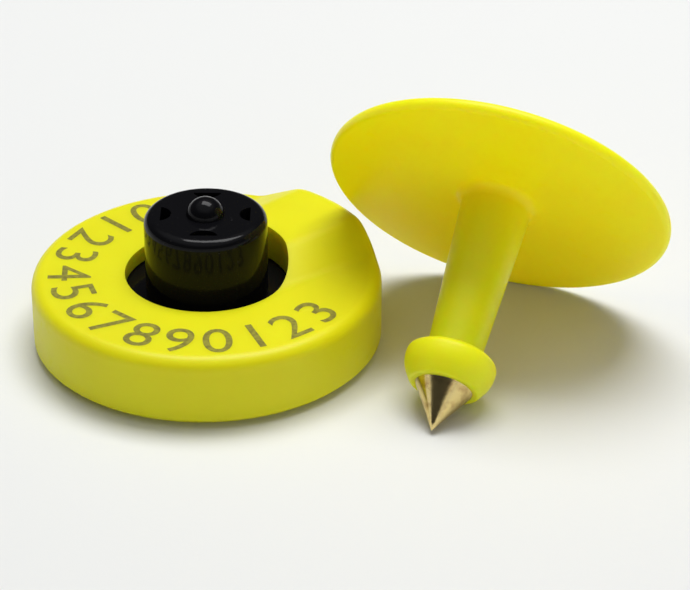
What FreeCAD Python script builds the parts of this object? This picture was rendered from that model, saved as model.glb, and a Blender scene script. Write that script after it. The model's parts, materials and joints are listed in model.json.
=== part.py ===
import FreeCAD, Part
import os
import re
import Sketcher

# Two-piece electronic button tag for livestock, in millimetres, +Z up.
# The female half lies flat on its back face, its axis on the Z axis.  The male half lies beside it,
# resting on the rim of its disc and on the collar of its head.

SIZES = {
    # stud
    "stud_length": 21.8,        # point to the face of the disc
    "disc_radius": 14.9,
    "disc_thickness": 1.1,
    "disc_edge": 0.35,          # chamfer of the disc's edges
    "root_radius": 3.05,        # stem at the disc
    "root_edge": 0.6,           # chamfer between the stem and the disc
    "neck_radius": 2.3,         # stem at the head
    "head_length": 7.0,         # point to the back of the head
    "head_radius": 3.9,
    "head_wide": 5.4,           # point to the widest place
    "head_front": 2.95,         # radius of the front face of the head
    "head_wide_round": 0.8,
    "head_back_edge": 0.35,
    "point_radius": 2.45,
    "point_length": 3.9,
    "shank_radius": 1.5,
    "shank_end": 9.0,           # point to the end of the shank
    "groove_depth": 0.4,
    "groove_width": 1.4,
    "groove_place": 5.6,        # point to the groove
    "mould_gap": 0.02,          # moulded plastic to the shank
    "pin_bore": 1.2,            # radius of the applicator's bore
    # locking cap, from the head outwards
    "throat_play": 0.15,        # head to the throat below the catches
    "chamber_step": 0.2,        # how much wider the inside is above the catches
    "cap_wall": 1.0,
    "crown_stand": 5.5,         # top of the crown above the ring
    "crown_round": 0.8,
    "crown_ceiling": 1.1,       # thickness of the top
    "lead_in": 0.5,             # chamfer at the mouth of the throat
    "tube_lift": 0.4,           # end of the tube above the resting plane
    "flange_thickness": 1.15,
    "flange_gap": 0.2,          # radial gap round the flange
    "flange_play": 0.15,        # axial play under the lip of the housing
    "swivel_gap": 0.08,         # radial running gap in the hub
    "nose_radius": 1.65,
    "nose_sink": 0.15,          # centre of the nose below the top
    "nose_wall": 0.9,
    "nose_pocket_mouth": 1.3,
    "nose_pocket_end": 0.35,
    "slot_count": 4,
    "slot_inset": 0.45,         # straight outer side of a slot to the cap's inside
    "slot_half": 1.2,           # half width of a slot
    "slot_depth": 0.9,          # straight side to the arched side
    "catch_thickness": 1.3,
    "catch_slope": 0.9,         # height of the slope that spreads the catch
    "catch_play": 0.3,          # back of the head to the catches when the tag is closed
    "point_play": 0.3,          # point to the end of the nose when the tag is closed
    # housing ring, from the cap outwards
    "crown_gap": 1.75,          # open gap round the crown
    "lip_width": 1.0,           # lip over the cap's flange
    "lip_thickness": 1.4,
    "inner_wall": 1.0,          # wall between the flange and the winding
    "ring_band": 8.0,           # hole to the outside of the ring
    "side_wall": 1.4,           # outer wall
    "top_wall": 1.2,            # wall over the winding
    "ring_lift": 0.5,           # underside of the housing above the resting plane
    "ring_top_round": 1.1,      # rounding of the upper outer edge
    "ring_foot_edge": 0.35,     # chamfer of the lower outer edge
    # raised pad over the circuit board
    "pad_angle": 42.0,          # degrees from +X, seen from above
    "pad_inset": 0.6,           # foot of the pad inside the hole's width, at the tag's axis
    "pad_flare": 1.0,           # how much wider each side gets towards the rim
    "pad_run": 3.6,             # flank, seen from above
    "pad_foot_blend": 2.0,
    "pad_crest_blend": 3.0,
    "recess_inset": 0.3,        # hollow under the pad to the inner wall
    "recess_margin": 1.0,       # hollow to the outer wall
    "recess_side": 1.45,        # hollow to the foot of the pad
    "recess_wall": 1.3,         # wall over the hollow
    # back cover
    "rim_wall": 0.8,            # outer wall round the cover
    "cover_plate": 1.2,         # thickness of the plate
    "cover_edge": 0.3,          # chamfer of its lower edges
    "weld_gap": 0.1,            # radial gap of the welded joints
    "hub_height": 3.8,          # seat of the cap's flange above the resting plane
    # electronics
    "former_wall": 0.6,
    "former_gap": 0.15,         # former to housing, all round
    "former_top_gap": 0.2,
    "window_gap": 0.1,          # winding to former
    "winding_inset": 0.3,       # winding inside the edge of the former
    "board_gap": 0.15,          # board to the hollow's ends
    "board_side": 0.95,         # board to the hollow's sides
    "board_thickness": 0.6,
    "chip_length": 2.0,
    "chip_half": 0.9,
    "chip_height": 0.5,
    "capacitor_length": 1.6,
    "capacitor_half": 0.4,
    "capacitor_height": 0.7,
    "parts_gap": 0.5,           # tallest part on the board to the hollow's top
    "lead_radius": 0.12,
    "lead_inset": 0.35,         # lead to the hollow's side
    "lead_height": 0.25,        # level of the leads over the board
    "notch_length": 1.2,        # opening in the former for a lead
    "notch_half": 0.4,
    "joint_inset": 0.6,         # solder joint to the board's end
    "solder_radius": 0.45,
    "solder_height": 0.32,
    # how the stud lies beside the ring
    "stud_azimuth": 18.6,       # degrees from +Y towards +X
    "stud_foot": 17.85,          # foot of the disc past the tag's axis, along the stud
    "stud_gap": 1.85,           # disc to the ring's rim at the level of the ring's top
}

# Sizes that follow from the others, from the stud's head outwards and from the resting plane upwards.
THROAT = "(head_radius + throat_play)"
CHAMBER = "(%s + chamber_step)" % THROAT
CROWN = "(%s + cap_wall)" % CHAMBER
MOUTH = "(%s + crown_gap)" % CROWN
POCKET = "(%s + lip_width)" % MOUTH
RING = "(%s + ring_band)" % MOUTH
COVER = "(%s - rim_wall)" % RING
CAVITY_IN = "(%s + inner_wall)" % POCKET
CAVITY_OUT = "(%s - side_wall)" % RING
SLOT_CHORD = "(%s - slot_inset)" % CHAMBER
SLOT_APEX = "(%s - slot_depth)" % SLOT_CHORD
PAD_FOOT = "(%s - pad_inset)" % MOUTH
RECESS_NEAR = "(%s + recess_inset)" % CAVITY_IN
RECESS_FAR = "(%s - recess_margin)" % CAVITY_OUT
RECESS_HALF = "(%s - recess_side)" % PAD_FOOT
BOARD_MIDDLE = "((%s + %s) / 2)" % (RECESS_NEAR, RECESS_FAR)
BOARD_LENGTH = "(%s - %s - 2 * board_gap)" % (RECESS_FAR, RECESS_NEAR)
BOARD_HALF = "(%s - board_side)" % RECESS_HALF
LEAD_PLACE = "(%s - lead_inset)" % RECESS_HALF
JOINT_PLACE = "(%s - joint_inset)" % BOARD_HALF
FLANGE_TOP = "(hub_height + flange_thickness)"
LIP_UNDER = "(%s + flange_play)" % FLANGE_TOP
RING_TOP = "(%s + lip_thickness)" % LIP_UNDER
CAVITY_TOP = "(%s - top_wall)" % RING_TOP
BOARD_LOW = "(%s - former_top_gap)" % CAVITY_TOP
BOARD_TOP = "(%s + board_thickness)" % BOARD_LOW
RECESS_TOP = "(%s + capacitor_height + parts_gap)" % BOARD_TOP
PAD_TOP = "(%s + recess_wall)" % RECESS_TOP
CROWN_TOP = "(%s + crown_stand)" % RING_TOP

doc = FreeCAD.newDocument("ear_tag")
sheet = doc.addObject("Spreadsheet::Sheet", "Sizes")
for row, (alias, value) in enumerate(SIZES.items(), start=1):
    sheet.set("A%d" % row, alias)
    sheet.set("B%d" % row, str(value))
    sheet.setAlias("B%d" % row, alias)
doc.recompute()


def formula(text):
    """Return the text with every alias turned into a reference to the sheet."""
    def refer(match):
        return "Sizes." + match.group() if match.group() in SIZES else match.group()
    return re.sub("[a-z_]+", refer, text)


def value(text):
    """Return the number that a formula has at present."""
    result = sheet.evalExpression(formula(text))
    return float(getattr(result, "Value", result))


def new_body(label, angle="0"):
    """Return an empty body, turned about Z by the formula angle."""
    body = doc.addObject("PartDesign::Body", label)
    body.Label = label
    body.Placement = FreeCAD.Placement(FreeCAD.Vector(), FreeCAD.Rotation(FreeCAD.Vector(0, 0, 1), 1))
    body.setExpression("Placement.Rotation.Angle", formula(angle))
    return body


def new_sketch(body, name, plane, lift="0"):
    """Return a sketch on one of the body's own origin planes, moved along its normal by lift."""
    sketch = body.newObject("Sketcher::SketchObject", name)
    support = [item for item in body.Origin.OriginFeatures if item.Role == plane][0]
    sketch.AttachmentSupport = [(support, "")]
    sketch.MapMode = "FlatFace"
    sketch.setExpression("AttachmentOffset.Base.z", formula(lift))
    return sketch


def pin_down(sketch, shape, point, corner):
    """Fix a point of a sketch shape at a corner that is given by two formulas."""
    for axis, kind, zero_line, text in ((0, "DistanceX", -2, corner[0]), (1, "DistanceY", -1, corner[1])):
        if text == "0":
            sketch.addConstraint(Sketcher.Constraint("PointOnObject", shape, point, zero_line))
            continue
        index = sketch.addConstraint(Sketcher.Constraint(kind, -1, 1, shape, point, value(text)))
        sketch.setExpression("Constraints[%d]" % index, formula(text))


def outline(body, name, plane, corners, lift="0"):
    """Return a sketch of a closed outline with straight sides through the corners."""
    sketch = new_sketch(body, name, plane, lift)
    spots = [FreeCAD.Vector(value(x), value(y), 0) for x, y in corners]
    for start, end in zip(spots, spots[1:] + spots[:1]):
        sketch.addGeometry(Part.LineSegment(start, end), False)
    count = len(corners)
    for side in range(count):
        sketch.addConstraint(Sketcher.Constraint("Coincident", side, 2, (side + 1) % count, 1))
    for side, corner in enumerate(corners):
        pin_down(sketch, side, 1, corner)
    return sketch


def circles(body, name, plane, radii, lift="0"):
    """Return a sketch of circles about the origin."""
    sketch = new_sketch(body, name, plane, lift)
    for text in radii:
        circle = Part.Circle(FreeCAD.Vector(), FreeCAD.Vector(0, 0, 1), value(text))
        shape = sketch.addGeometry(circle, False)
        sketch.addConstraint(Sketcher.Constraint("Coincident", shape, 3, -1, 1))
        index = sketch.addConstraint(Sketcher.Constraint("Radius", shape, value(text)))
        sketch.setExpression("Constraints[%d]" % index, formula(text))
    return sketch


def arched_slot(body, name, chord, half, apex, lift):
    """Return a sketch of a slot across the X axis: straight far side, arched near side."""
    sketch = new_sketch(body, name, "XY_Plane", lift)
    low = FreeCAD.Vector(value(chord), -value(half), 0)
    high = FreeCAD.Vector(value(chord), value(half), 0)
    middle = FreeCAD.Vector(value(apex), 0, 0)
    sketch.addGeometry(Part.LineSegment(low, high), False)
    sketch.addGeometry(Part.Arc(high, middle, low), False)
    ends = (1, 2) if sketch.Geometry[1].StartPoint.y > 0 else (2, 1)
    sketch.addConstraint(Sketcher.Constraint("Coincident", 0, 2, 1, ends[0]))
    sketch.addConstraint(Sketcher.Constraint("Coincident", 0, 1, 1, ends[1]))
    pin_down(sketch, 0, 1, (chord, "0 - " + half))
    pin_down(sketch, 0, 2, (chord, half))
    sagitta = "(%s - %s)" % (chord, apex)
    bow = "(%s * %s + %s * %s) / (2 * %s)" % (half, half, sagitta, sagitta, sagitta)
    index = sketch.addConstraint(Sketcher.Constraint("Radius", 1, value(bow)))
    sketch.setExpression("Constraints[%d]" % index, formula(bow))
    return sketch


def revolve(body, sketch, kind="PartDesign::Revolution"):
    """Turn a sketch about the upright axis, as material or as a groove."""
    feature = body.newObject(kind, sketch.Name + "Turned")
    feature.Profile = sketch
    feature.ReferenceAxis = (sketch, ["V_Axis"])
    feature.Angle = 360
    doc.recompute()
    return feature


def extrude(body, sketch, length, kind="PartDesign::Pad", down=False):
    """Extrude a sketch by the formula length, as material or as a pocket."""
    feature = body.newObject(kind, sketch.Name + "Extruded")
    feature.Profile = sketch
    feature.setExpression("Length", formula(length))
    feature.Reversed = down
    doc.recompute()
    return feature


def dress(body, base, names, size, kind="PartDesign::Fillet"):
    """Round or chamfer the named edges of a feature."""
    if not names:
        raise RuntimeError(body.Label + " has no edge to dress after " + base.Name)
    feature = body.newObject(kind, base.Name + kind[12:])
    feature.Base = (base, names)
    feature.setExpression("Radius" if kind.endswith("Fillet") else "Size", formula(size))
    doc.recompute()
    return feature


def repeat(body, features, count):
    """Repeat features about the Z axis."""
    pattern = body.newObject("PartDesign::PolarPattern", features[0].Name + "Pattern")
    pattern.Originals = features
    axis = [item for item in body.Origin.OriginFeatures if item.Role == "Z_Axis"][0]
    pattern.Axis = (axis, [""])
    pattern.Angle = 360
    pattern.setExpression("Occurrences", formula(count))
    body.Tip = pattern
    doc.recompute()
    return pattern


def pick(feature, test):
    """Return the names of the feature's edges that pass the test."""
    numbered = enumerate(feature.Shape.Edges, start=1)
    return ["Edge%d" % index for index, edge in numbered if not edge.Degenerated and test(edge)]


def ring_edges(feature, radius, level):
    """Return the names of the circular edges about the Z axis with this radius at this level."""
    def on_ring(edge):
        if not isinstance(edge.Curve, Part.Circle):
            return False
        centre = edge.Curve.Center
        away = max(abs(centre.x), abs(centre.y), abs(centre.z - value(level)))
        return away < 1e-4 and abs(edge.Curve.Radius - value(radius)) < 1e-4
    return pick(feature, on_ring)


def level_edges(feature, level):
    """Return the names of the straight edges that lie flat at this level."""
    def lies_flat(edge):
        points = edge.discretize(5)
        length = (points[-1] - points[0]).Length
        return abs(edge.Length - length) < 1e-4 and all(abs(p.z - value(level)) < 1e-4 for p in points)
    return pick(feature, lies_flat)


def rim_chain(feature, radius, lowest):
    """Return the names of the edges on the cylinder of this radius, at or over this level, that aren't upright."""
    def on_rim(edge):
        points = edge.discretize(5)
        near = all(abs((p.x ** 2 + p.y ** 2) ** 0.5 - value(radius)) < 1e-3 for p in points)
        return near and min(p.z for p in points) > value(lowest) - 1e-3 and not upright(points)

    def upright(points):
        return all(abs(p.x - points[0].x) + abs(p.y - points[0].y) < 1e-3 for p in points)
    return pick(feature, on_rim)


def ring_housing():
    """Annular cover, open below, with the raised pad on its +X side before it is turned."""
    body = new_body("ring_housing", "pad_angle")
    seat = COVER + " + weld_gap"
    section = outline(body, "RingSection", "XZ_Plane", [
        (MOUTH, RING_TOP), (RING, RING_TOP), (RING, "ring_lift"), (seat, "ring_lift"), (seat, "cover_plate"),
        (CAVITY_OUT, "cover_plate"), (CAVITY_OUT, CAVITY_TOP), (CAVITY_IN, CAVITY_TOP),
        (CAVITY_IN, "cover_plate"), (POCKET, "cover_plate"), (POCKET, LIP_UNDER), (MOUTH, LIP_UNDER)])
    revolve(body, section)

    sections = []
    for name, station, widening in (("PadNear", "0", "0"), ("PadFar", RING + " + side_wall", "pad_flare")):
        foot = "%s + %s" % (PAD_FOOT, widening)
        crest = foot + " - pad_run"
        sections.append(outline(body, name, "YZ_Plane", [
            ("0 - (%s)" % foot, CAVITY_TOP), (foot, CAVITY_TOP), (foot, RING_TOP),
            (crest, PAD_TOP), ("0 - (%s)" % crest, PAD_TOP), ("0 - (%s)" % foot, RING_TOP)],
            station))
    pad = body.newObject("PartDesign::AdditiveLoft", "Pad")
    pad.Profile = sections[0]
    pad.Sections = sections[1:]
    pad.Ruled = True
    doc.recompute()

    trim = circles(body, "RimTrim", "XY_Plane", [RING, RING + " + 4 * side_wall"], CAVITY_TOP)
    extrude(body, trim, PAD_TOP, "PartDesign::Pocket", True)
    mouth = circles(body, "MouthTrim", "XY_Plane", [MOUTH], LIP_UNDER)
    trimmed = extrude(body, mouth, PAD_TOP, "PartDesign::Pocket", True)

    soft = dress(body, trimmed, level_edges(trimmed, RING_TOP), "pad_foot_blend")
    soft = dress(body, soft, level_edges(soft, PAD_TOP), "pad_crest_blend")
    soft = dress(body, soft, rim_chain(soft, RING, RING_TOP), "ring_top_round")
    dress(body, soft, ring_edges(soft, RING, "ring_lift"), "ring_foot_edge", "PartDesign::Chamfer")

    hollow = outline(body, "PadHollow", "XY_Plane", [
        (RECESS_NEAR, "0 - " + RECESS_HALF), (RECESS_FAR, "0 - " + RECESS_HALF),
        (RECESS_FAR, RECESS_HALF), (RECESS_NEAR, RECESS_HALF)], CAVITY_TOP)
    extrude(body, hollow, "%s - %s" % (RECESS_TOP, CAVITY_TOP), "PartDesign::Pocket", True)
    return body


def back_cover():
    """Welded closing plate with the hub that the cap's tube turns in."""
    body = new_body("back_cover")
    bore = CROWN + " + swivel_gap"
    hub = POCKET + " - weld_gap"
    section = outline(body, "CoverSection", "XZ_Plane", [
        (bore, "0"), (COVER, "0"), (COVER, "cover_plate"), (hub, "cover_plate"), (hub, "hub_height"),
        (bore, "hub_height")])
    turned = revolve(body, section)
    edges = ring_edges(turned, COVER, "0") + ring_edges(turned, bore, "0")
    dress(body, turned, edges, "cover_edge", "PartDesign::Chamfer")
    return body


def locking_cap():
    """Closed crown with slots and nose, flange, tube, and the catches inside."""
    body = new_body("locking_cap")
    flange = POCKET + " - flange_gap"
    ceiling = CROWN_TOP + " - crown_ceiling"
    pocket_end = CROWN_TOP + " - nose_sink + nose_radius - nose_wall"
    catch_top = pocket_end + " - point_play - head_length - catch_play"
    catch_low = catch_top + " - catch_thickness"
    outside = outline(body, "CapSection", "XZ_Plane", [
        ("0", "tube_lift"), (CROWN, "tube_lift"), (CROWN, "hub_height"), (flange, "hub_height"),
        (flange, FLANGE_TOP), (CROWN, FLANGE_TOP), (CROWN, CROWN_TOP), ("0", CROWN_TOP)])
    turned = revolve(body, outside)
    dress(body, turned, ring_edges(turned, CROWN, CROWN_TOP), "crown_round")

    nose = body.newObject("PartDesign::AdditiveSphere", "Nose")
    nose.setExpression("Radius", formula("nose_radius"))
    nose.setExpression("AttachmentOffset.Base.z", formula(CROWN_TOP + " - nose_sink"))
    base = [item for item in body.Origin.OriginFeatures if item.Role == "XY_Plane"][0]
    nose.AttachmentSupport = [(base, "")]
    nose.MapMode = "FlatFace"
    doc.recompute()

    inside = outline(body, "ChamberSection", "XZ_Plane", [
        ("0", "tube_lift"), (THROAT + " + lead_in", "tube_lift"), (THROAT, "tube_lift + lead_in"),
        (THROAT, catch_low), (CHAMBER, catch_low), (CHAMBER, ceiling),
        ("nose_pocket_mouth", ceiling), ("nose_pocket_end", pocket_end), ("0", pocket_end)])
    revolve(body, inside, "PartDesign::Groove")

    slot = arched_slot(body, "Slot", SLOT_CHORD, "slot_half", SLOT_APEX, ceiling + " - crown_ceiling")
    cut = extrude(body, slot, "3 * crown_ceiling", "PartDesign::Pocket", True)
    repeat(body, [cut], "slot_count")

    root = "(%s + cap_wall / 2)" % CHAMBER
    catch = arched_slot(body, "Catch", root, "slot_half", SLOT_APEX, catch_top)
    lug = extrude(body, catch, "catch_thickness", "PartDesign::Pad", True)
    repeat(body, [lug], "slot_count")

    spread = outline(body, "SpreadSection", "XZ_Plane", [
        ("0", catch_low), (CHAMBER, catch_low), (SLOT_APEX, catch_low + " + catch_slope"),
        ("0", catch_low + " + catch_slope")])
    revolve(body, spread, "PartDesign::Groove")
    return body


def coil_former():
    """Bobbin ring, open outwards, with two notches for the leads."""
    body = new_body("coil_former", "pad_angle")
    inner = CAVITY_IN + " + former_gap"
    outer = CAVITY_OUT + " - former_gap"
    core = inner + " + former_wall"
    section = outline(body, "FormerSection", "XZ_Plane", [
        (inner, "cover_plate"), (outer, "cover_plate"), (outer, "cover_plate + former_wall"),
        (core, "cover_plate + former_wall"), (core, BOARD_LOW + " - former_wall"),
        (outer, BOARD_LOW + " - former_wall"), (outer, BOARD_LOW), (inner, BOARD_LOW)])
    revolve(body, section)
    start, end = BOARD_MIDDLE + " - notch_length / 2", BOARD_MIDDLE + " + notch_length / 2"
    for name, side in (("NotchLeft", ""), ("NotchRight", "0 - ")):
        near = "%s(%s - notch_half)" % (side, LEAD_PLACE)
        far = "%s(%s + notch_half)" % (side, LEAD_PLACE)
        notch = outline(body, name, "XY_Plane", [(start, near), (end, near), (end, far), (start, far)], BOARD_LOW)
        extrude(body, notch, "former_wall", "PartDesign::Pocket")
    return body


def antenna_coil():
    """Winding, as one ring of rectangular section in the former."""
    body = new_body("antenna_coil", "pad_angle")
    inner = CAVITY_IN + " + former_gap + former_wall + window_gap"
    outer = CAVITY_OUT + " - former_gap - winding_inset"
    low = "cover_plate + former_wall"
    high = BOARD_LOW + " - former_wall - window_gap"
    section = outline(body, "CoilSection", "XZ_Plane",
                      [(inner, low), (outer, low), (outer, high), (inner, high)])
    revolve(body, section)
    return body


def block(label, length, half, height, low, place="0"):
    """Rectangular piece on the board, its middle at the formula place across the board."""
    body = new_body(label, "pad_angle")
    near, far = "%s - %s / 2" % (BOARD_MIDDLE, length), "%s + %s / 2" % (BOARD_MIDDLE, length)
    left, right = "%s - %s" % (place, half), "%s + %s" % (place, half)
    base = outline(body, label + "Base", "XY_Plane", [(near, left), (far, left), (far, right), (near, right)], low)
    extrude(body, base, height)
    return body


def primitive(kind, name, sizes, place, turn=None):
    """Return a Part primitive with its sizes and its place given by formulas."""
    piece = doc.addObject(kind, name)
    for key, text in sizes.items():
        piece.setExpression(key, formula(text))
    if turn:
        piece.Placement = FreeCAD.Placement(FreeCAD.Vector(), turn)
    for key, text in zip("xyz", place):
        piece.setExpression("Placement.Base." + key, formula(text))
    return piece


def joined(name, pieces, angle=None):
    """Return the union of pieces, turned about Z by the formula angle."""
    whole = doc.addObject("Part::MultiFuse", name)
    whole.Shapes = pieces
    if angle:
        whole.Placement = FreeCAD.Placement(FreeCAD.Vector(), FreeCAD.Rotation(FreeCAD.Vector(0, 0, 1), 1))
        whole.setExpression("Placement.Rotation.Angle", formula(angle))
    doc.recompute()
    return whole


def lead_pieces(side, prefix):
    """Wire that rises from the winding through its notch and bends in over the board."""
    low = BOARD_LOW + " - former_wall - window_gap"
    level = BOARD_TOP + " + lead_height"
    place = side + LEAD_PLACE
    inward = FreeCAD.Rotation(FreeCAD.Vector(1, 0, 0), -90 if side else 90)
    return [
        primitive("Part::Cylinder", prefix + "Rise",
                  {"Radius": "lead_radius", "Height": "%s - (%s)" % (level, low)}, (BOARD_MIDDLE, place, low)),
        primitive("Part::Sphere", prefix + "Elbow", {"Radius": "lead_radius"}, (BOARD_MIDDLE, place, level)),
        primitive("Part::Cylinder", prefix + "Over",
                  {"Radius": "lead_radius", "Height": "%s - %s" % (LEAD_PLACE, JOINT_PLACE)},
                  (BOARD_MIDDLE, place, level), inward)]


def coil_leads():
    """Both ends of the winding."""
    pieces = lead_pieces("", "LeadLeft") + lead_pieces("0 - ", "LeadRight")
    return joined("coil_leads", pieces, "pad_angle")


def solder_joints():
    """Two cones of solder, each around the end of a lead."""
    cones = []
    for side, name in (("", "JointLeft"), ("0 - ", "JointRight")):
        cones.append(primitive("Part::Cone", name, {
            "Radius1": "solder_radius", "Radius2": "solder_radius / 2", "Height": "solder_height"},
            (BOARD_MIDDLE, side + JOINT_PLACE, BOARD_TOP)))
    wires = joined("SolderedLeads", lead_pieces("", "WireLeft") + lead_pieces("0 - ", "WireRight"))
    both = doc.addObject("Part::Cut", "solder_joints")
    both.Base = joined("SolderCones", cones)
    both.Tool = wires
    both.Placement = FreeCAD.Placement(FreeCAD.Vector(), FreeCAD.Rotation(FreeCAD.Vector(0, 0, 1), 1))
    both.setExpression("Placement.Rotation.Angle", formula("pad_angle"))
    doc.recompute()
    return both


def lay_down(body):
    """Place a piece of the stud so that the disc's rim and the head's collar touch the resting plane."""
    rim = "(stud_length + disc_edge)"
    reach = "(%s - head_wide)" % rim
    rise = "(disc_radius - head_radius + head_wide_round)"
    span = "sqrt(%s * %s + %s * %s)" % (reach, reach, rise, rise)
    slope = "(atan(%s / %s) - asin(head_wide_round / %s))" % (rise, reach, span)
    point = "(disc_radius * cos(%s) - %s * sin(%s))" % (slope, rim, slope)
    along = "(stud_foot - %s * cos(%s) - disc_radius * sin(%s))" % (rim, slope, slope)
    climb = "(%s / cos(%s))" % (RING_TOP, slope)
    level = "(stud_foot - %s * sin(%s))" % (climb, slope)
    beside = "(sqrt(%s * (2 * disc_radius - %s)) + sqrt((%s + stud_gap) * (%s + stud_gap) - %s * %s))" % (
        climb, climb, RING, RING, level, level)
    turn_sin, turn_cos = "sin(stud_azimuth * 1 deg)", "cos(stud_azimuth * 1 deg)"
    body.Placement = FreeCAD.Placement(FreeCAD.Vector(0, 0, 1), FreeCAD.Rotation(FreeCAD.Vector(1, 0, 0), 1))
    body.setExpression("Placement.Base.x", formula("%s * %s + %s * %s" % (along, turn_sin, beside, turn_cos)))
    body.setExpression("Placement.Base.y", formula("%s * %s - %s * %s" % (along, turn_cos, beside, turn_sin)))
    body.setExpression("Placement.Base.z", formula(point))
    body.setExpression("Placement.Rotation.Axis.x", formula("0 - " + turn_cos))
    body.setExpression("Placement.Rotation.Axis.y", formula(turn_sin))
    body.setExpression("Placement.Rotation.Angle", formula("90 deg - " + slope))
    doc.recompute()


def shank_steps(gap):
    """Return the shank's outline from its seat to its end, groove included, as corner formulas."""
    wide, deep = "shank_radius + " + gap, "shank_radius - groove_depth + " + gap
    start, end = "groove_place + " + gap, "groove_place + groove_width - " + gap
    return [(wide, "point_length"), (wide, start), (deep, start), (deep, end), (wide, end), (wide, "shank_end")]


def stud_body():
    """Disc, tapered stem with the applicator's bore, and collar head, moulded in one."""
    body = new_body("stud_body")
    disc_back = "stud_length + disc_thickness"
    section = outline(body, "StudSection", "XZ_Plane", shank_steps("mould_gap") + [
        ("pin_bore", "shank_end"), ("pin_bore", disc_back), ("disc_radius", disc_back),
        ("disc_radius", "stud_length"), ("root_radius", "stud_length"), ("neck_radius", "head_length"),
        ("head_radius", "head_length"), ("head_radius", "head_wide"), ("head_front", "point_length")])
    turned = revolve(body, section)
    root = ring_edges(turned, "root_radius", "stud_length")
    soft = dress(body, turned, root, "root_edge", "PartDesign::Chamfer")
    soft = dress(body, soft, ring_edges(soft, "head_radius", "head_wide"), "head_wide_round")
    back = ring_edges(soft, "head_radius", "head_length")
    soft = dress(body, soft, back, "head_back_edge", "PartDesign::Chamfer")
    rim = ring_edges(soft, "disc_radius", "stud_length") + ring_edges(soft, "disc_radius", disc_back)
    dress(body, soft, rim, "disc_edge", "PartDesign::Chamfer")
    lay_down(body)
    return body


def stud_tip():
    """Turned piercing point with its grooved shank."""
    body = new_body("stud_tip")
    section = outline(body, "TipSection", "XZ_Plane", [("0", "0"), ("point_radius", "point_length")]
                      + shank_steps("0") + [("0", "shank_end")])
    revolve(body, section)
    lay_down(body)
    return body


PARTS = [
    ring_housing(), back_cover(), locking_cap(), coil_former(), antenna_coil(),
    block("chip_board", BOARD_LENGTH, BOARD_HALF, "board_thickness", BOARD_LOW),
    block("transponder_chip", "chip_length", "chip_half", "chip_height", BOARD_TOP),
    block("tuning_capacitor", "capacitor_length", "capacitor_half", "capacitor_height", BOARD_TOP,
          "(chip_half + %s - solder_radius) / 2" % JOINT_PLACE),
    coil_leads(), solder_joints(), stud_body(), stud_tip()]

doc.recompute()
for item in doc.Objects:
    if "Invalid" in item.State or "Error" in item.State:
        raise RuntimeError("%s did not build: %s" % (item.Name, item.State))

os.makedirs("parts", exist_ok=True)
for part in PARTS:
    shape = part.Shape
    if shape.isNull() or not shape.isValid() or not shape.Solids:
        raise RuntimeError(part.Label + " has no valid solid")
    shape.exportStep(os.path.join("parts", part.Label + ".step"))
    box = shape.BoundBox
    print("%-18s volume %9.3f  x %7.2f %7.2f  y %7.2f %7.2f  z %7.2f %7.2f" % (
        part.Label, shape.Volume, box.XMin, box.XMax, box.YMin, box.YMax, box.ZMin, box.ZMax))
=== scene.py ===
import json
import math

import bpy
import numpy as np
from mathutils import Matrix, Vector


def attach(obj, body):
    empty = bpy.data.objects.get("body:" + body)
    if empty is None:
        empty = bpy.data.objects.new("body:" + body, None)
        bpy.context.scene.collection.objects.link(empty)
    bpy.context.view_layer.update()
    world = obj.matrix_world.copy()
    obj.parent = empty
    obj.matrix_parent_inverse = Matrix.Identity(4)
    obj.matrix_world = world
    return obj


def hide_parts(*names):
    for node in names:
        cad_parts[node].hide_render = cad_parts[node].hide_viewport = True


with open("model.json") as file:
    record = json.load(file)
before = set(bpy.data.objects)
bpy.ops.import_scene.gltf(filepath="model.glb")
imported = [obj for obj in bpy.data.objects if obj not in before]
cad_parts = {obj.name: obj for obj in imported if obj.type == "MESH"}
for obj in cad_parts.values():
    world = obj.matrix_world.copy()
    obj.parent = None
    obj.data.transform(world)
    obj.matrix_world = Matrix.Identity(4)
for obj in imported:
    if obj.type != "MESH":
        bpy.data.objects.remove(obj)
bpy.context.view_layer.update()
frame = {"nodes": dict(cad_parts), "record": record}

# ---------------------------------------------------------------------------------------------
# Ring housing: an open ring with a hump over the hole, injection-moulded in soft lime-yellow
# polyurethane that lets a little light through. The rest of the ring half goes into it.


class Signal:
    """One output socket of a material; arithmetic on it adds Math nodes."""

    def __init__(self, finish, socket):
        self.finish = finish
        self.socket = socket

    def joined(self, operation, first, second):
        return self.finish.node("ShaderNodeMath", {"operation": operation}, {0: first, 1: second})

    def __add__(self, other):
        return self.joined("ADD", self, other)

    def __sub__(self, other):
        return self.joined("SUBTRACT", self, other)

    def __rsub__(self, other):
        return self.joined("SUBTRACT", other, self)

    def __mul__(self, other):
        return self.joined("MULTIPLY", self, other)

    __radd__ = __add__
    __rmul__ = __mul__


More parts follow.
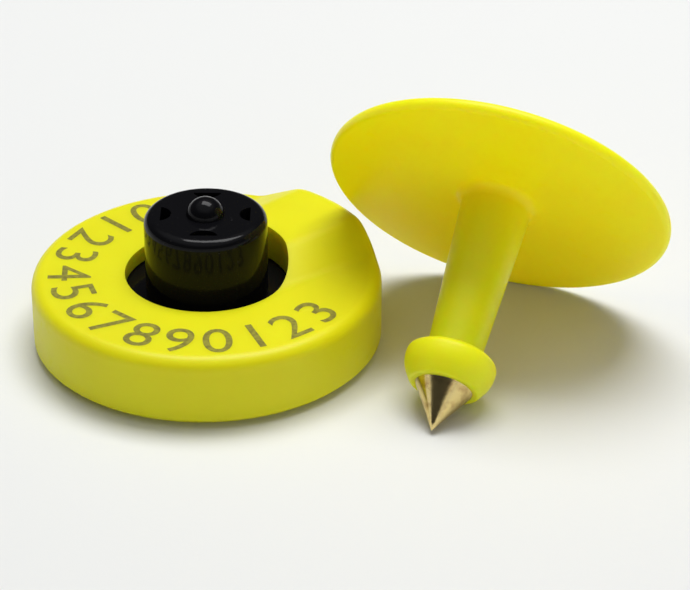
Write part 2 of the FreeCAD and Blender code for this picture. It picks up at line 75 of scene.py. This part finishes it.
class Finish:
    """A material with one Principled shader, and a method that adds any other node."""

    def __init__(self, name, **constants):
        self.material = bpy.data.materials.new(name)
        self.material.use_nodes = True
        self.tree = self.material.node_tree
        self.surface = self.tree.nodes["Principled BSDF"]
        for key, value in constants.items():
            self.surface.inputs[key.replace("_", " ")].default_value = value

    def feed(self, socket, value):
        """Link a signal to a socket, or set the socket to a constant."""
        if isinstance(value, Signal):
            self.tree.links.new(value.socket, socket)
        else:
            socket.default_value = value

    def node(self, kind, settings=None, sockets=None, output=0):
        """Add a node, its settings first and then its sockets, and return one of its outputs."""
        made = self.tree.nodes.new(kind)
        for key, setting in (settings or {}).items():
            if key == "stops":
                ramp = made.color_ramp.elements
                while len(ramp) < len(setting):
                    ramp.new(0.5)
                for element, (place, shade) in zip(ramp, setting):
                    element.position = place
                    element.color = (shade, shade, shade, 1)
            else:
                setattr(made, key, setting)
        for key, value in (sockets or {}).items():
            self.feed(made.inputs[key], value)
        return Signal(self, made.outputs[output])

    def place(self):
        return self.node("ShaderNodeTexCoord", output="Object")

    def noise(self, size, detail=3.0):
        """Cloudy pattern from 0 to 1, its lumps about size metres across."""
        return self.node("ShaderNodeTexNoise", {}, {
            "Vector": self.place(), "Scale": 1 / size, "Detail": detail})

    def steps(self, value, *stops):
        """Map a signal through grey stops."""
        return self.node("ShaderNodeValToRGB", {"stops": stops}, {0: value})

    def mixed(self, amount, first, second):
        """Blend two colours by a signal from 0 to 1."""
        return self.node("ShaderNodeMix", {"data_type": "RGBA"}, {0: amount, 6: first, 7: second}, output=2)

    def colour(self, colour):
        self.feed(self.surface.inputs["Base Color"], colour)

    def roughen(self, roughness, height, depth):
        """Feed roughness and a height field, depth metres deep, to the shader."""
        self.feed(self.surface.inputs["Roughness"], roughness)
        relief = self.node("ShaderNodeBump", {}, {"Height": height, "Distance": depth, "Strength": 1.0})
        self.feed(self.surface.inputs["Normal"], relief)

    def paint(self, colour, roughness, height, depth):
        self.colour(colour)
        self.roughen(roughness, height, depth)


def dress(node, finish):
    """Give a CAD node one finish."""
    slots = frame["nodes"][node].data.materials
    slots.clear()
    slots.append(finish.material)


def soft_plastic(name, glow, depth):
    """Translucent moulded plastic, a fine matt grain and sparse scuffs on it, not yet coloured."""
    finish = Finish(name, Subsurface_Weight=glow, Subsurface_Radius=(1.0, 0.66, 0.08),
                    Subsurface_Scale=depth, IOR=1.49, Specular_IOR_Level=0.25)
    clouds = finish.noise(0.007, 2.0)
    grain = finish.noise(0.00022, 3.0)
    scuffs = finish.steps(finish.noise(0.0012, 6.0), (0.60, 0.0), (0.72, 1.0))
    finish.roughen(0.36 + clouds * 0.06 + scuffs * 0.12, grain * 0.6 - scuffs * 0.5, 0.000012)
    return finish, clouds


lime, lime_clouds = soft_plastic("lime_polyurethane", glow=0.35, depth=0.0022)
lime.colour(lime.mixed(lime_clouds, (0.80, 0.78, 0.008, 1), (0.77, 0.71, 0.005, 1)))
dress("ring_housing", lime)

# ---------------------------------------------------------------------------------------------
# Numbers on the housing: plain digits browned by a laser into the ring's flat top, their feet
# to the rim. They have no thickness of their own and lie a hair above the plastic.


def arc_of_digits(name, digits, radius, first, pitch, spread, height, level):
    """Flat digits on a circle. A glyph is scaled to a height of 1 about its middle. Its x, times spread,
    runs along the circle's tangent, and its y, times height, runs from the circle towards the axis."""
    corners, faces, count = [], [], 0
    for place, digit in enumerate(digits):
        text = bpy.data.curves.new(name + "_glyph", "FONT")
        text.body = digit
        text.size = 1.0
        text.resolution_u = 6
        holder = bpy.data.objects.new(name + "_glyph", text)
        glyph = bpy.data.meshes.new_from_object(holder)
        flat = np.empty(len(glyph.vertices) * 3)
        glyph.vertices.foreach_get("co", flat)
        flat = flat.reshape(-1, 3)
        low, high = flat.min(0), flat.max(0)
        flat = (flat - (low + high) / 2) / (high[1] - low[1])
        turn = math.radians(first + pitch * place)
        outward = np.array([math.cos(turn), math.sin(turn), 0])
        along = np.array([-math.sin(turn), math.cos(turn), 0])
        sideways = np.outer(flat[:, 0] * spread, along)
        spots = outward * radius + sideways - np.outer(flat[:, 1] * height, outward)
        spots[:, 2] = level
        glyph.calc_loop_triangles()
        triangles = np.empty(len(glyph.loop_triangles) * 3, dtype=np.int32)
        glyph.loop_triangles.foreach_get("vertices", triangles)
        faces.append(triangles.reshape(-1, 3) + count)
        corners.append(spots)
        count += len(spots)
        bpy.data.objects.remove(holder)
        bpy.data.meshes.remove(glyph)
        bpy.data.curves.remove(text)
    mesh = bpy.data.meshes.new(name)
    mesh.from_pydata(np.concatenate(corners).tolist(), [], np.concatenate(faces).tolist())
    piece = bpy.data.objects.new(name, mesh)
    bpy.context.scene.collection.objects.link(piece)
    return piece


mounts = {mount["name"]: mount for mount in frame["record"]["mounts"]}
ring_top = 0.0065
mark_lift = 0.00001
numbers = arc_of_digits("ring_numbers", "01234567890123", radius=0.0117, first=120.0, pitch=15.7,
                        spread=0.0039, height=0.0037, level=ring_top + mark_lift)
burn = Finish("laser_mark", IOR=1.45)
mottle = burn.noise(0.0004, 4.0)
browning = burn.steps(mottle, (0.35, 0.0), (0.65, 1.0))
burn.paint(burn.mixed(browning, (0.17, 0.15, 0.012, 1), (0.30, 0.28, 0.02, 1)),
           0.55 + mottle * 0.2, mottle, 0.00002)
numbers.data.materials.append(burn.material)
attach(numbers, "tag")

# ---------------------------------------------------------------------------------------------
# Coil former: the pale nylon bobbin that sits in the housing's cavity and holds the winding.


def plain_finish(name, first, second, size, roughness, depth, metallic=0.0):
    """Two close shades in a pattern of that size, with relief from the same pattern."""
    finish = Finish(name, Metallic=metallic)
    pattern = finish.noise(size, 4.0)
    finish.paint(finish.mixed(pattern, first, second), roughness + pattern * 0.15, pattern, depth)
    return finish


dress("coil_former", plain_finish("former_nylon", (0.78, 0.76, 0.66, 1), (0.86, 0.84, 0.76, 1),
                                  size=0.0008, roughness=0.45, depth=0.00001))

# ---------------------------------------------------------------------------------------------
# Antenna coil and its leads: enamelled copper wire, wound on the former in many fine turns,
# its two ends led to the board.

winding = Finish("enamelled_copper", Metallic=1.0)
turns = winding.node("ShaderNodeTexWave", {"bands_direction": "Z"},
                     {"Vector": winding.place(), "Scale": 2600.0}, output=1)
winding.paint(winding.mixed(turns, (0.42, 0.14, 0.05, 1), (0.75, 0.33, 0.14, 1)),
              0.35 - turns * 0.1, turns, 0.00004)
dress("antenna_coil", winding)
dress("coil_leads", winding)

# ---------------------------------------------------------------------------------------------
# Chip board: a small green board beside the coil, with the transponder chip in black epoxy, a
# ceramic capacitor and the solder joints that hold the leads.

dress("chip_board", plain_finish("solder_resist", (0.012, 0.11, 0.04, 1), (0.03, 0.20, 0.07, 1),
                                 size=0.0006, roughness=0.35, depth=0.00002))
dress("transponder_chip", plain_finish("chip_epoxy", (0.012, 0.012, 0.013, 1), (0.03, 0.03, 0.03, 1),
                                       size=0.0001, roughness=0.6, depth=0.00001))
dress("tuning_capacitor", plain_finish("ceramic", (0.40, 0.24, 0.12, 1), (0.55, 0.37, 0.20, 1),
                                       size=0.0003, roughness=0.5, depth=0.00001))
dress("solder_joints", plain_finish("solder", (0.62, 0.62, 0.64, 1), (0.80, 0.80, 0.82, 1),
                                    size=0.0002, roughness=0.2, depth=0.00001, metallic=1.0))

# ---------------------------------------------------------------------------------------------
# Back cover: moulded in the housing's own plastic and welded into it over the electronics. Its
# hub carries the cap.

dress("back_cover", lime)

# ---------------------------------------------------------------------------------------------
# Locking cap: one moulding in hard glossy black nylon, with sparse dust on it. It is held in the
# hub of the back cover, where it turns.

black = Finish("black_nylon", IOR=1.5, Specular_IOR_Level=0.12)
dust = black.steps(black.noise(0.00035, 2.0), (0.70, 0.0), (0.78, 1.0))
black.paint(black.mixed(dust * 0.3, (0.004, 0.004, 0.005, 1), (0.04, 0.04, 0.04, 1)),
            0.10 + dust * 0.2, black.noise(0.0004, 3.0), 0.000006)
dress("locking_cap", black)

# ---------------------------------------------------------------------------------------------
# Stud: disc, stem and head moulded in one in yellow polyurethane, round the shank of the metal point. Its
# colour is lime. Painted shade and bounce light turn the stem and disc a warmer orange, which gives way to
# lime again at the lit rim. A bore for the applicator's pin runs in from the disc's back.


def rounded(corners, steps=7):
    """Closed profile through corners (along, radius, rounding). Each corner becomes an arc of its rounding
    that touches both sides. One more point just past each of its ends keeps the straights' shading flat."""
    margin, too_close = 0.00003, 0.000001
    spots = np.array([corner[:2] for corner in corners])
    rounding = np.array([corner[2] for corner in corners])[:, None]
    back = np.roll(spots, 1, axis=0) - spots
    back /= np.linalg.norm(back, axis=1)[:, None]
    onward = np.roll(spots, -1, axis=0) - spots
    onward /= np.linalg.norm(onward, axis=1)[:, None]
    half = np.arccos((back * onward).sum(1))[:, None] / 2
    start = spots + back * rounding / np.tan(half)
    end = spots + onward * rounding / np.tan(half)
    centre = spots + (back + onward) / (2 * np.cos(half)) * rounding / np.sin(half)
    sweep = math.pi - 2 * half
    share = np.linspace(0, 1, steps)[:, None, None]
    arc = centre + (np.sin((1 - share) * sweep) * (start - centre)
                    + np.sin(share * sweep) * (end - centre)) / np.sin(sweep)
    lead = end + onward * margin
    tail = np.roll(start + back * margin, -1, axis=0)
    profile = np.concatenate([arc, lead[None], tail[None]]).transpose(1, 0, 2).reshape(-1, 2)
    apart = np.linalg.norm(profile - np.roll(profile, 1, axis=0), axis=1)
    return profile[apart > too_close]


def turned_piece(name, profile, origin, axis, count=192):
    """Closed profile turned about an axis: point = origin + along * axis + radius * spoke(angle)."""
    side = np.cross(axis, (0, 0, 1))
    side /= np.linalg.norm(side)
    lift = np.cross(side, axis)
    angle = np.arange(count) * 2 * math.pi / count
    spokes = np.cos(angle)[:, None] * side + np.sin(angle)[:, None] * lift
    points = origin + profile[:, 0][:, None, None] * axis + profile[:, 1][:, None, None] * spokes
    rows, columns = np.meshgrid(np.arange(len(profile)), np.arange(count), indexing="ij")
    below, beside = (rows + 1) % len(profile), (columns + 1) % count
    quads = np.stack([rows * count + columns, below * count + columns,
                      below * count + beside, rows * count + beside], axis=-1).reshape(-1, 4)
    mesh = bpy.data.meshes.new(name)
    mesh.from_pydata(points.reshape(-1, 3).tolist(), [], quads.tolist())
    mesh.shade_smooth()
    piece = bpy.data.objects.new(name, mesh)
    bpy.context.scene.collection.objects.link(piece)
    return piece


bore = mounts["applicator_bore"]
stud_axis = np.array(bore["axis"])
bore_radius = bore["dims"]["r_mm"] / 1000
bore_length = bore["dims"]["length_mm"] / 1000
head_front, head_widest, head_back = 0.0039, 0.0054, 0.0070
shank_end, disc_front, disc_back = 0.0090, 0.0218, 0.0229
shank_radius, lip_radius, head_radius, shoulder_radius = 0.00152, 0.00295, 0.0039, 0.0038
neck_radius, root_radius, disc_radius = 0.0023, 0.00305, 0.0149
stud_point = np.array(bore["pos_m"]) + stud_axis * (bore_length / 2 - disc_back)
stud = turned_piece("stud_moulding", rounded([
    (head_front, shank_radius, 0.0), (head_front, lip_radius, 0.0004),
    (head_widest, head_radius, 0.0026), (head_back, shoulder_radius, 0.0007),
    (head_back, neck_radius, 0.0002), (disc_front, root_radius, 0.0009),
    (disc_front, disc_radius, 0.0005), (disc_back, disc_radius, 0.0005),
    (disc_back, bore_radius, 0.0002), (shank_end, bore_radius, 0.0),
    (shank_end, shank_radius, 0.0)]), stud_point, stud_axis)
golden, golden_clouds = soft_plastic("yellow_polyurethane", glow=1.0, depth=0.0032)
station = golden.node("ShaderNodeVectorMath", {"operation": "DOT_PRODUCT"},
                      {0: golden.place(), 1: tuple(stud_axis)}, output="Value")
point_station = float(stud_point @ stud_axis)
# Painted shade: the stem and the disc turn a warm orange, the colour of their shaded, bounce-lit sides.
shaded_towards_disc = golden.node("ShaderNodeMapRange", {"interpolation_type": "SMOOTHSTEP"}, {
    "Value": station, "From Min": point_station + 0.006, "From Max": point_station + 0.011})
reach = golden.node("ShaderNodeVectorMath", {"operation": "DISTANCE"},
                    {0: golden.place(), 1: tuple(stud_point)}, output="Value")
# Painted light at the disc's rim: the painted orange gives way to lime where the rim is lit.
lit_rim = golden.node("ShaderNodeMapRange", {"interpolation_type": "SMOOTHSTEP"}, {
    "Value": reach, "From Min": 0.0261, "From Max": 0.0269})
limy = golden.mixed(golden_clouds, (0.88, 0.90, 0.014, 1), (0.86, 0.82, 0.010, 1))
shade_orange = golden.mixed(golden_clouds, (1.00, 0.86, 0.006, 1), (0.99, 0.76, 0.004, 1))
golden.colour(golden.mixed(lit_rim * 0.6, golden.mixed(shaded_towards_disc, limy, shade_orange), limy))
stud.data.materials.append(golden.material)
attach(stud, "tag")
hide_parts("stud_body")
dress("stud_body", golden)

# ---------------------------------------------------------------------------------------------
# Stud tip: a turned brass cone on a shank that is moulded into the head, scratched by use and
# stained darker in patches.

brass = Finish("turned_brass", Metallic=1.0)
scratches = brass.node("ShaderNodeTexNoise", {}, {
    "Vector": brass.place(), "Scale": 5200.0, "Detail": 5.0, "Distortion": 1.5})
stain = brass.steps(brass.noise(0.0009, 5.0), (0.50, 0.0), (0.72, 1.0))
brass.paint(brass.mixed(stain * 0.7, (0.74, 0.59, 0.25, 1), (0.36, 0.20, 0.07, 1)),
            0.08 + scratches * 0.10, scratches, 0.000004)
dress("stud_tip", brass)

# ---------------------------------------------------------------------------------------------
# Table: a wide sheet of pale matt paper under both halves.

table_half = 2.0
sheet = bpy.data.meshes.new("table")
sheet.from_pydata([(-table_half, -table_half, 0), (table_half, -table_half, 0),
                   (table_half, table_half, 0), (-table_half, table_half, 0)], [], [(0, 1, 2, 3)])
table = bpy.data.objects.new("table", sheet)
bpy.context.scene.collection.objects.link(table)
paper = Finish("table_paper")
paper.paint(paper.mixed(paper.noise(0.05), (0.80, 0.808, 0.798, 1), (0.79, 0.798, 0.788, 1)),
            0.8, paper.noise(0.0005), 0.00001)
table.data.materials.append(paper.material)

# ---------------------------------------------------------------------------------------------
# Light: a room that is pale overhead and at the horizon, a softbox above the ring and a weak lamp
# in front on the right.

world = bpy.data.worlds.new("studio")
bpy.context.scene.world = world
world.use_nodes = True
sky = world.node_tree
direction = sky.nodes.new("ShaderNodeTexCoord")
split = sky.nodes.new("ShaderNodeSeparateXYZ")
sky.links.new(direction.outputs["Generated"], split.inputs[0])
bands = sky.nodes.new("ShaderNodeValToRGB")
sky.links.new(split.outputs["Z"], bands.inputs[0])
stops = [(0.0, 0.85), (0.10, 0.85), (0.15, 0.05), (0.60, 0.05), (0.85, 0.55), (1.0, 0.55)]
while len(bands.color_ramp.elements) < len(stops):
    bands.color_ramp.elements.new(0.5)
for element, (height, level) in zip(bands.color_ramp.elements, stops):
    element.position = height
    element.color = (level, level, level, 1)
sky.links.new(bands.outputs[0], sky.nodes["Background"].inputs["Color"])
sky.nodes["Background"].inputs["Strength"].default_value = 1.0


def soft_lamp(name, width, depth, power, place):
    """Area lamp that faces the middle of the table."""
    light = bpy.data.lights.new(name, "AREA")
    light.shape = "RECTANGLE"
    light.size = width
    light.size_y = depth
    light.energy = power
    lamp = bpy.data.objects.new(name, light)
    lamp.location = place
    lamp.rotation_euler = (Vector((0.01, 0.0, 0.0)) - Vector(place)).to_track_quat("-Z", "Y").to_euler()
    bpy.context.scene.collection.objects.link(lamp)
    return lamp


soft_lamp("softbox", width=0.36, depth=0.22, power=2.15, place=(0.05, 0.12, 0.47))
front_fill = soft_lamp("front_fill", width=0.30, depth=0.30, power=0.25, place=(0.20, -0.42, 0.22))
front_fill.visible_glossy = False

# ---------------------------------------------------------------------------------------------
# Camera: a long lens that looks down on both halves from the front.

camera_data = bpy.data.cameras.new("camera")
camera_data.lens = 140.8
camera_data.sensor_width = 36.0
camera_data.clip_start = 0.01
camera = bpy.data.objects.new("camera", camera_data)
bpy.context.scene.collection.objects.link(camera)
aim = Vector((0.01184, 0.00709, 0.0))
distance = 0.2404
down = math.radians(30.18)
roll = math.radians(0.26)
forward = Vector((0, math.cos(down), -math.sin(down)))
level_right = Vector((1, 0, 0))
level_up = level_right.cross(forward)
right = level_right * math.cos(roll) + level_up * math.sin(roll)
up = level_up * math.cos(roll) - level_right * math.sin(roll)
camera.matrix_world = Matrix((right, up, -forward)).transposed().to_4x4()
camera.location = aim - forward * distance
bpy.context.scene.camera = camera
bpy.context.scene.view_settings.view_transform = "Standard"
